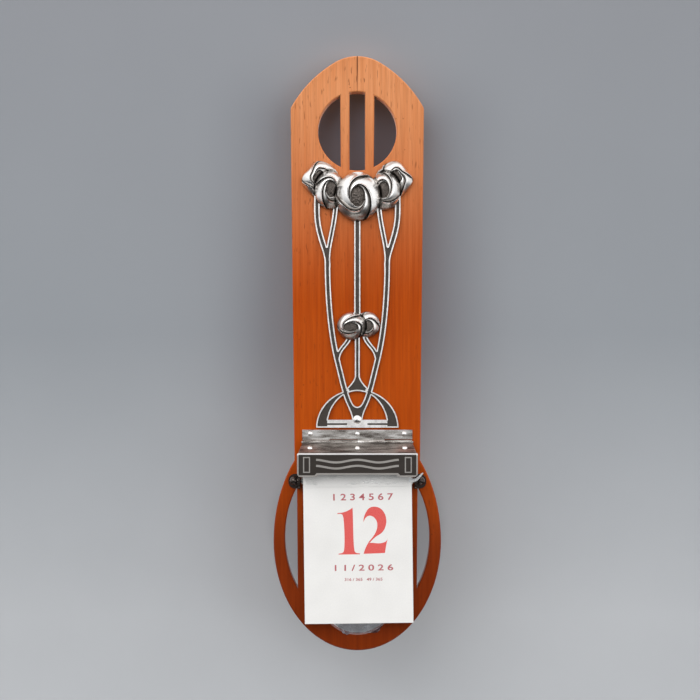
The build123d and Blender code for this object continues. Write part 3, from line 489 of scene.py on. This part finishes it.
def borderAt(border, angle):
    # Smooth closed curve through (degrees, reach) pairs
    count = len(border)
    degrees = math.degrees(angle) % 360
    for index in range(count):
        start = border[index][0] % 360
        span = (border[(index + 1) % count][0] - start) % 360
        along = (degrees - start) % 360
        if along <= span:
            a, b, c, d = (border[(index + offset) % count][1] for offset in (-1, 0, 1, 2))
            t = along / span
            return 0.5 * (2 * b + (c - a) * t + (2 * a - 5 * b + 4 * c - d) * t**2
                          + (3 * b - a - 3 * c + d) * t**3)
    return border[0][1]


def makeRose(name, rose):
    look, wearAndShade = roseLook, roseWearAndShade
    core, hand, rims = rose["core"], rose["hand"], rose["rims"]
    border = rose.get("border", ovalBorder)
    halfX, halfZ = rose["size"]
    shape = bmesh.new()
    bmesh.ops.create_uvsphere(shape, u_segments=look["segments"], v_segments=look["rings"], radius=1.0)
    wear = shape.verts.layers.float.new("wear")
    backRings = look["rings"] - look["frontRings"] - 1
    for vertex in shape.verts:
        ring = round(math.acos(max(-1.0, min(1.0, vertex.co.z))) / math.pi * look["rings"])
        behind = ring > look["frontRings"]
        reach = (look["rings"] - ring) / backRings if behind else ring / look["frontRings"]
        out = min(max((reach - core) / (1 - core), 0.0), 1.0)
        # Each petal runs from its own rim, where it is high, to the next rim, which it goes under
        around = (math.atan2(vertex.co.y, vertex.co.x) % (2 * math.pi)) / (2 * math.pi) * len(rims)
        passed = int(around + 1e-6)
        index = passed % len(rims)
        petal = max(around - passed, 0.0)
        petal = 0.5 * petal + 0.25 * (1 - math.cos(math.pi * petal))  # closer rings at both rims
        span = (hand * (rims[(index + 1) % len(rims)] - rims[index])) % 360
        wound = look["turnIn"][0] * (1 - out) + look["turnIn"][1] * (1 - out) ** 3
        angle = math.radians(rims[index] + hand * (span * petal + wound))
        dome = look["edge"] + (1 - look["edge"]) * (1 - out**2) ** look["fullness"]
        left, fades = look["border"]
        relief = left + (1 - left) * step(out, 1.0, fades)
        rim = math.exp(-(petal / look["rim"]) ** 2)
        sunk = look["lift"] * petal**3 * step(petal, 1.0, look["wall"])
        height = dome - (sunk - look["bead"] * rim) * relief
        inside = step(reach, core, core * 0.8)
        grain = noise.noise(vertex.co * look["grain"])
        heart = 1 - look["pit"] + look["bulge"] * (1 - (reach / core) ** 2) + look["pitted"] * grain
        height += (heart - height) * inside
        # Hearts are ovals: the middle is stretched and the border is kept
        ease = step(reach, 1.0, 0.3)
        stretchX = 1 + (rose["stretch"][0] - 1) * ease
        stretchZ = 1 + (rose["stretch"][1] - 1) * ease
        far = borderAt(border, angle) * reach
        x = rose["place"][0] + halfX * (far * math.cos(angle) * stretchX + rose["shift"][0] * (1 - reach))
        z = rose["place"][1] + halfZ * (far * math.sin(angle) * stretchZ + rose["shift"][1] * (1 - reach))
        for other in (roses[key] for key in rose["fronts"]):
            near = math.hypot((x - other["place"][0]) / other["size"][0],
                              (z - other["place"][1]) / other["size"][1])
            height *= look["tucked"] + (1 - look["tucked"]) * step(near, *look["tuck"])
        # Undersides are painted darker, as painted shade where less light reaches them
        below = step(math.sin(angle) * reach, *wearAndShade["below"])
        # Painted shade toward the next rim and in its crease, and a painted highlight on the raised rim, besides
        # oxide and rubbing
        silverBrightness = 1.0 - wearAndShade["fade"] * petal**2 + wearAndShade["rim"] * rim - wearAndShade["underShade"] * below * (1 - rim)
        silverBrightness -= wearAndShade["groove"] * math.exp(-(((petal - wearAndShade["grooveAt"]) / wearAndShade["grooveLength"]) ** 2))
        silverBrightness += (wearAndShade["heart"] + wearAndShade["heartGrain"] * grain - silverBrightness) * inside
        vertex[wear] = wearAndShade["back"] if behind else min(max(silverBrightness, wearAndShade["least"]), 1.0)
        y = -boardFront - (0.0 if behind else height * rose["rise"])
        vertex.co = Vector((x, y, z)) * mm
    bmesh.ops.recalc_face_normals(shape, faces=shape.faces)
    return newPiece(name, meshFrom(name, shape), "silverFlowers", "holder", (rose["node"],))


for name, rose in roses.items():
    makeRose(name, rose)
print("roses made:", len(roses))

# Printed page: a large red numeral and plain smaller numerals, laid on the front page.
# The large figures' outlines are shares of their height, with True where the line runs on smoothly
numeralOne = [
    (0.014, 0.0, False), (0.47, 0.0, False), (0.47, 0.018, False), (0.375, 0.042, True), (0.352, 0.09, True),
    (0.325, 0.995, False), (0.235, 0.94, True), (0.13, 0.90, True), (0.0, 0.885, False), (0.0, 0.866, False),
    (0.085, 0.862, True), (0.116, 0.825, True), (0.13, 0.09, True), (0.105, 0.042, True), (0.014, 0.018, False),
]
numeralTwo = [
    (0.546, 0.008, False), (1.003, 0.022, False), (1.03, 0.18, True), (1.071, 0.355, False), (1.045, 0.29, True),
    (0.99, 0.248, True), (0.675, 0.243, False), (0.80, 0.36, True), (0.955, 0.47, True), (1.03, 0.62, True),
    (1.037, 0.76, True), (0.985, 0.90, True), (0.894, 0.985, True), (0.79, 1.012, True), (0.685, 0.985, True),
    (0.607, 0.89, True), (0.556, 0.75, True), (0.553, 0.685, False), (0.60, 0.775, True), (0.665, 0.818, True),
    (0.74, 0.808, True), (0.815, 0.74, True), (0.846, 0.64, True), (0.828, 0.51, True), (0.765, 0.39, True),
    (0.655, 0.25, True), (0.59, 0.13, True),
]
pagePrint = {
    "lift": 0.04,  # millimetres off the paper
    "bold": 0.09,  # millimetres that the strokes of a 4 mm line gain on each side
    "letterSize": 1.35,  # font size for a figure of height 1
    "numeral": {"corner": (-12.3, -305.6), "height": 29.7},
    "lines": [  # name, figures, middle in x and z, width, height
        ("weekdayRow", "1 2 3 4 5 6 7", 2.9, -269.3, 38.0, 4.3),
        ("monthRow", "1 1 / 2 0 2 6", 3.55, -314.1, 37.0, 3.9),
        ("dayRow", "316 / 365   49 / 365", 3.9, -321.4, 24.0, 1.9),
    ],
}


def onPage(mesh, middle):
    # Turns a flat mesh drawn in x and y, in millimetres, onto the tilted page
    lay = Matrix.Rotation(math.pi / 2, 4, "X")
    turn = Matrix.Rotation(-padTilt, 4, "Y")
    place = Matrix.Translation(Vector((middle[0], -(pageFront + pagePrint["lift"]), middle[1])))
    mesh.transform(Matrix.Scale(mm, 4) @ place @ turn @ lay)
    return mesh


def flatMesh(name, source):
    holder = bpy.data.objects.new(name + "Source", source)
    bpy.context.scene.collection.objects.link(holder)
    graph = bpy.context.evaluated_depsgraph_get()
    mesh = bpy.data.meshes.new_from_object(holder.evaluated_get(graph))
    bpy.data.objects.remove(holder)
    mesh.name = name
    return mesh


def makeNumeral(name, points, height):
    curve = bpy.data.curves.new(name, "CURVE")
    curve.dimensions, curve.fill_mode, curve.resolution_u = "2D", "BOTH", 8
    spline = curve.splines.new("BEZIER")
    spline.bezier_points.add(len(points) - 1)
    spline.use_cyclic_u = True
    for knot, (x, y, isSmooth) in zip(spline.bezier_points, points):
        knot.co = (x * height, y * height, 0)
        knot.handle_left_type = knot.handle_right_type = "AUTO" if isSmooth else "VECTOR"
    return flatMesh(name, curve)


def makeLine(name, figures, width, height):
    text = bpy.data.curves.new(name, "FONT")
    text.body, text.align_x, text.align_y = figures, "CENTER", "CENTER"
    text.size = height * pagePrint["letterSize"]
    text.offset = pagePrint["bold"] * height / 4
    mesh = flatMesh(name, text)
    across = [vertex.co.x for vertex in mesh.vertices]
    mesh.transform(Matrix.Scale(width / (max(across) - min(across)), 4, Vector((1, 0, 0))))
    return mesh


for name, points in (("numeralOne", numeralOne), ("numeralTwo", numeralTwo)):
    mesh = onPage(makeNumeral(name, points, pagePrint["numeral"]["height"]), pagePrint["numeral"]["corner"])
    newPiece(name, mesh, "redInk", "page")
for name, figures, middleX, middleZ, width, height in pagePrint["lines"]:
    mesh = onPage(makeLine(name, figures, width, height), (middleX, middleZ))
    newPiece(name, mesh, "smallInk", "page")
print("page printed")

# Crumpled film over the head of the block and below its foot, in millimetres from the block's head
filmSheets = {
    "filmHead": {"node": "wrapper_film_head", "look": "headCellophane", "left": -33.0, "right": 33.0,
                 "top": -1.0, "foot": -18.4, "depth": 19.85, "cells": (90, 26), "crumple": 0.9,
                 "fold": 7.0, "taper": 0.02, "smooth": True},
    "filmTail": {"node": "wrapper_film_tail", "look": "tailCellophaneShaded", "left": -16.0, "right": 17.0,
                 "top": -106.7, "foot": -114.7, "depth": 9.75, "cells": (14, 5), "crumple": 2.2,
                 "fold": 4.0, "taper": 0.32, "smooth": False},
}
tornEdge = {"wave": 3.5, "reach": 1.4}  # millimetres along and across the torn lower edge


def onPad(u, depth, v):
    return Vector((padHead.x + u * math.cos(padTilt) - v * math.sin(padTilt), -depth,
                   padHead.z + u * math.sin(padTilt) + v * math.cos(padTilt)))


def makeFilmSheet(name, sheet):
    shape = bmesh.new()
    bmesh.ops.create_grid(shape, x_segments=sheet["cells"][0], y_segments=sheet["cells"][1], size=0.5)
    bmesh.ops.triangulate(shape, faces=shape.faces)
    middle = (sheet["left"] + sheet["right"]) / 2
    for vertex in shape.verts:
        down = 0.5 - vertex.co.y
        u = middle + vertex.co.x * (sheet["right"] - sheet["left"]) * (1 - sheet["taper"] * down)
        v = sheet["top"] + down * (sheet["foot"] - sheet["top"])
        ripple = noise.fractal(Vector((u, v * 1.4, 3.7)) / sheet["fold"], 0.9, 2.1, 4)
        edge = noise.noise(Vector((u, 9.1, 0.3)) / tornEdge["wave"])
        v += down * edge * tornEdge["reach"]
        vertex.co = onPad(u, sheet["depth"] + sheet["crumple"] * ripple * step(down, 0.0, 0.25), v) * mm
    mesh = meshFrom(name, shape, sheet["smooth"])
    return newPiece(name, mesh, sheet["look"], "block", (sheet["node"],))


# A torn shred of the film stands off at the block's right shoulder: x, z and half its width along its middle
shred = {"depth": 19.9, "curl": 0.8, "cup": 0.3, "cells": (20, 2),
         "line": [(32.6, -258.2, 1.2), (35.2, -258.6, 1.1), (37.4, -258.0, 0.9), (39.0, -256.5, 0.7),
                  (40.3, -255.0, 0.6), (41.5, -253.7, 0.35)]}


def makeShred():
    shape = bmesh.new()
    bmesh.ops.create_grid(shape, x_segments=shred["cells"][0], y_segments=shred["cells"][1], size=0.5)
    for vertex in shape.verts:
        along = (vertex.co.x + 0.5) * (len(shred["line"]) - 1)
        index = min(int(along), len(shred["line"]) - 2)
        here, there = (Vector(point) for point in shred["line"][index:index + 2])
        spot = here.lerp(there, along - index)
        run = Vector((there.x - here.x, there.y - here.y)).normalized()
        offset = Vector((-run.y, run.x)) * vertex.co.y * 2 * spot.z
        depth = shred["depth"] + shred["curl"] * (vertex.co.x + 0.5) ** 2 + shred["cup"] * abs(vertex.co.y)
        vertex.co = Vector((spot.x + offset.x, -depth, spot.y + offset.y)) * mm
    return newPiece("filmShred", meshFrom("filmShred", shape), "tornCellophane", "block")


for name, sheet in filmSheets.items():
    makeFilmSheet(name, sheet)
makeShred()
print("film laid")

# Stage, in metres: a backdrop that leans away below the object, and a pale floor
stage = {
    "width": 3.0, "top": 1.2, "foot": -0.9, "touch": 0.007, "lean": math.radians(9.0), "floor": 0.8,
    "wall": [(0.0, "#95979C"), (0.5, "#999DA2"), (0.95, "#BDBFC2")], "wallHeights": (0.05, -0.38),
    "speck": "#85888C",
    "shade": "#666A73", "beside": 0.3,  # shaded paint, and its share beside the board
    # Each pair below is clear at its first distance or height and shaded at its second
    "window": (0.0, 0.0, -0.036), "windowShade": (0.045, 0.03),
    "loop": (0.0, 0.054, -0.295), "loopShade": (0.064, 0.05),
    "sideShade": (0.11, 0.045), "sideFoot": (-0.26, -0.16), "sideHead": (0.02, -0.03),
}


def stagePlane(name, material, matrix):
    shape = bmesh.new()
    bmesh.ops.create_grid(shape, x_segments=1, y_segments=1, size=0.5, matrix=matrix)
    mesh = meshFrom(name, shape)
    plane = bpy.data.objects.new(name, mesh)
    bpy.context.scene.collection.objects.link(plane)
    mesh.materials.append(material)


def makeBackdrop():
    # Painted wall, seen from the front only, and by no light that falls on the object
    material, tree = newMaterial("paintedWall")
    place = addNode(tree, "TexCoord")["Object"]
    axes = addNode(tree, "SeparateXYZ", {0: place})
    # The wall is painted darker at the top and lighter lower down, as painted light
    high, low = stage["wallHeights"]
    height = addNode(tree, "MapRange", {0: axes["Z"], 1: high, 2: low})[0]
    colour = addNode(tree, "ValToRGB", {0: height, "stops": stage["wall"]})[0]
    speck = addNode(tree, "TexNoise", {"Vector": place, "Scale": 9.0, "Detail": 4.0})["Fac"]
    speckShade = addNode(tree, "MapRange", {0: speck, 1: 0.35, 2: 0.7, 3: 0.0, 4: 0.1})[0]
    colour = addNode(tree, "Mix", {"data_type": "RGBA", 0: speckShade, 6: colour,
                                   7: linear(stage["speck"])})[2]
    # The wall is in shade where the round window stands close to it
    away = addNode(tree, "VectorMath", {"operation": "DISTANCE", 0: place, 1: stage["window"]})["Value"]
    clear, dark = stage["windowShade"]
    window = addNode(tree, "MapRange", {"interpolation_type": "SMOOTHSTEP", 0: away, 1: clear, 2: dark})[0]
    colour = addNode(tree, "Mix", {"data_type": "RGBA", 0: window, 6: colour, 7: linear(stage["shade"])})[2]
    # So it is along both sides of the board, and a little inside the loop
    sideways = addNode(tree, "Math", {"operation": "ABSOLUTE", 0: axes["X"]})[0]
    clear, dark = stage["sideShade"]
    beside = addNode(tree, "MapRange", {"interpolation_type": "SMOOTHSTEP", 0: sideways, 1: clear, 2: dark,
                                        4: stage["beside"]})[0]
    clear, dark = stage["sideFoot"]
    above = addNode(tree, "MapRange", {"interpolation_type": "SMOOTHSTEP", 0: axes["Z"],
                                       1: clear, 2: dark})[0]
    clear, dark = stage["sideHead"]
    under = addNode(tree, "MapRange", {"interpolation_type": "SMOOTHSTEP", 0: axes["Z"],
                                       1: clear, 2: dark})[0]
    along = addNode(tree, "Math", {"operation": "MULTIPLY", 0: above, 1: under})[0]
    beside = addNode(tree, "Math", {"operation": "MULTIPLY", 0: beside, 1: along})[0]
    colour = addNode(tree, "Mix", {"data_type": "RGBA", 0: beside, 6: colour, 7: linear(stage["shade"])})[2]
    away = addNode(tree, "VectorMath", {"operation": "DISTANCE", 0: place, 1: stage["loop"]})["Value"]
    clear, dark = stage["loopShade"]
    inside = addNode(tree, "MapRange", {"interpolation_type": "SMOOTHSTEP", 0: away, 1: clear, 2: dark,
                                        4: stage["beside"]})[0]
    colour = addNode(tree, "Mix", {"data_type": "RGBA", 0: inside, 6: colour, 7: linear(stage["shade"])})[2]
    diffuse = addNode(tree, "BsdfDiffuse", {"Color": colour})[0]
    nothing = addNode(tree, "BsdfTransparent")[0]
    seen = addNode(tree, "LightPath")["Is Camera Ray"]
    behind = addNode(tree, "NewGeometry")["Backfacing"]
    facing = addNode(tree, "Math", {"operation": "SUBTRACT", 0: 1.0, 1: behind})[0]
    shown = addNode(tree, "Math", {"operation": "MULTIPLY", 0: seen, 1: facing})[0]
    blend = addNode(tree, "MixShader", {0: shown, 1: nothing, 2: diffuse})[0]
    addNode(tree, "OutputMaterial", {"Surface": blend})
    return material


def makeFloor():
    material, tree = newMaterial("paleFloor")
    place = addNode(tree, "TexCoord")["Object"]
    speck = addNode(tree, "TexNoise", {"Vector": place, "Scale": 12.0, "Detail": 3.0})["Fac"]
    colour = addNode(tree, "ValToRGB", {0: speck, "stops": [(0.3, "#D6D6D4"), (0.7, "#DEDEDC")]})[0]
    shader = addNode(tree, "BsdfPrincipled", {"Base Color": colour, "Roughness": 0.7,
                                              "Specular IOR Level": 0.2})
    addNode(tree, "OutputMaterial", {"Surface": shader[0]})
    return material


upright = Matrix.Rotation(math.pi / 2, 4, "X")
tall = Matrix.Diagonal((stage["width"], stage["top"] - stage["foot"], 1, 1))
lean = Matrix.Translation(Vector((0, stage["touch"], 0))) @ Matrix.Rotation(stage["lean"], 4, "X")
drop = Matrix.Translation(Vector((0, 0, (stage["top"] + stage["foot"]) / 2)))
ground = Matrix.Translation(Vector((0, 0, stage["foot"]))) @ Matrix.Scale(stage["floor"], 4)
stagePlane("backdrop", makeBackdrop(), lean @ drop @ upright @ tall)
stagePlane("floor", makeFloor(), ground)

# Soft studio light: a large lamp above and in front, and a weaker one from the right
lights = {
    "keyLight": {"place": (-0.6, -1.3, 0.8), "aim": (0, 0, -0.16), "size": (1.7, 1.2), "power": 13},
    "fillLight": {"place": (1.0, -1.3, -0.1), "aim": (0, 0, -0.2), "size": (0.9, 0.9), "power": 3.8},
}
for name, light in lights.items():
    lamp = bpy.data.lights.new(name, "AREA")
    lamp.shape, lamp.size, lamp.size_y, lamp.energy = "RECTANGLE", *light["size"], light["power"]
    holder = bpy.data.objects.new(name, lamp)
    holder.location = light["place"]
    beam = Vector(light["aim"]) - Vector(light["place"])
    holder.rotation_euler = beam.to_track_quat("-Z", "Y").to_euler()
    bpy.context.scene.collection.objects.link(holder)

# A room with a bright ceiling and sides, which the camera sees as a plain grey
room = {
    "stops": [(0.0, "#141414"), (0.4, "#2E2F30"), (0.5, "#7C7E80"), (0.62, "#E4E6E8"), (1.0, "#FFFFFF")],
    "sides": 0.45, "strength": 1.3, "plain": "#A4A7AA",
}


def makeRoom():
    world = bpy.data.worlds.new("studio")
    bpy.context.scene.world = world
    world.use_nodes = True
    tree = world.node_tree
    tree.nodes.clear()
    axes = addNode(tree, "SeparateXYZ", {0: addNode(tree, "TexCoord")["Generated"]})
    sideways = addNode(tree, "Math", {"operation": "ABSOLUTE", 0: axes["X"]})[0]
    bright = addNode(tree, "Math", {"operation": "MULTIPLY_ADD", 0: sideways, 1: room["sides"],
                                    2: axes["Z"]})[0]
    upward = addNode(tree, "MapRange", {0: bright, 1: -1.0, 2: 1.0})[0]
    ceiling = addNode(tree, "ValToRGB", {0: upward, "stops": room["stops"]})[0]
    glow = addNode(tree, "Background", {"Color": ceiling, "Strength": room["strength"]})[0]
    plain = addNode(tree, "Background", {"Color": linear(room["plain"])})[0]
    seen = addNode(tree, "LightPath")["Is Camera Ray"]
    blend = addNode(tree, "MixShader", {0: seen, 1: glow, 2: plain})[0]
    addNode(tree, "OutputWorld", {"Surface": blend})


makeRoom()

# Camera: straight in front, 1 m from the board, 448 mm across at its face
view = {"middle": (-4.67, -176.0), "away": 1000.0, "across": 448.0, "sensor": 36.0}
camera = bpy.data.cameras.new("camera")
camera.sensor_width = view["sensor"]
camera.lens = view["sensor"] * view["away"] / view["across"]
cameraHolder = bpy.data.objects.new("camera", camera)
cameraHolder.location = Vector((view["middle"][0], -boardFront - view["away"], view["middle"][1])) * mm
cameraHolder.rotation_euler = (math.pi / 2, 0, 0)
bpy.context.scene.collection.objects.link(cameraHolder)
bpy.context.scene.camera = cameraHolder
bpy.context.scene.view_settings.view_transform = "Standard"
print("stage, light and camera set")
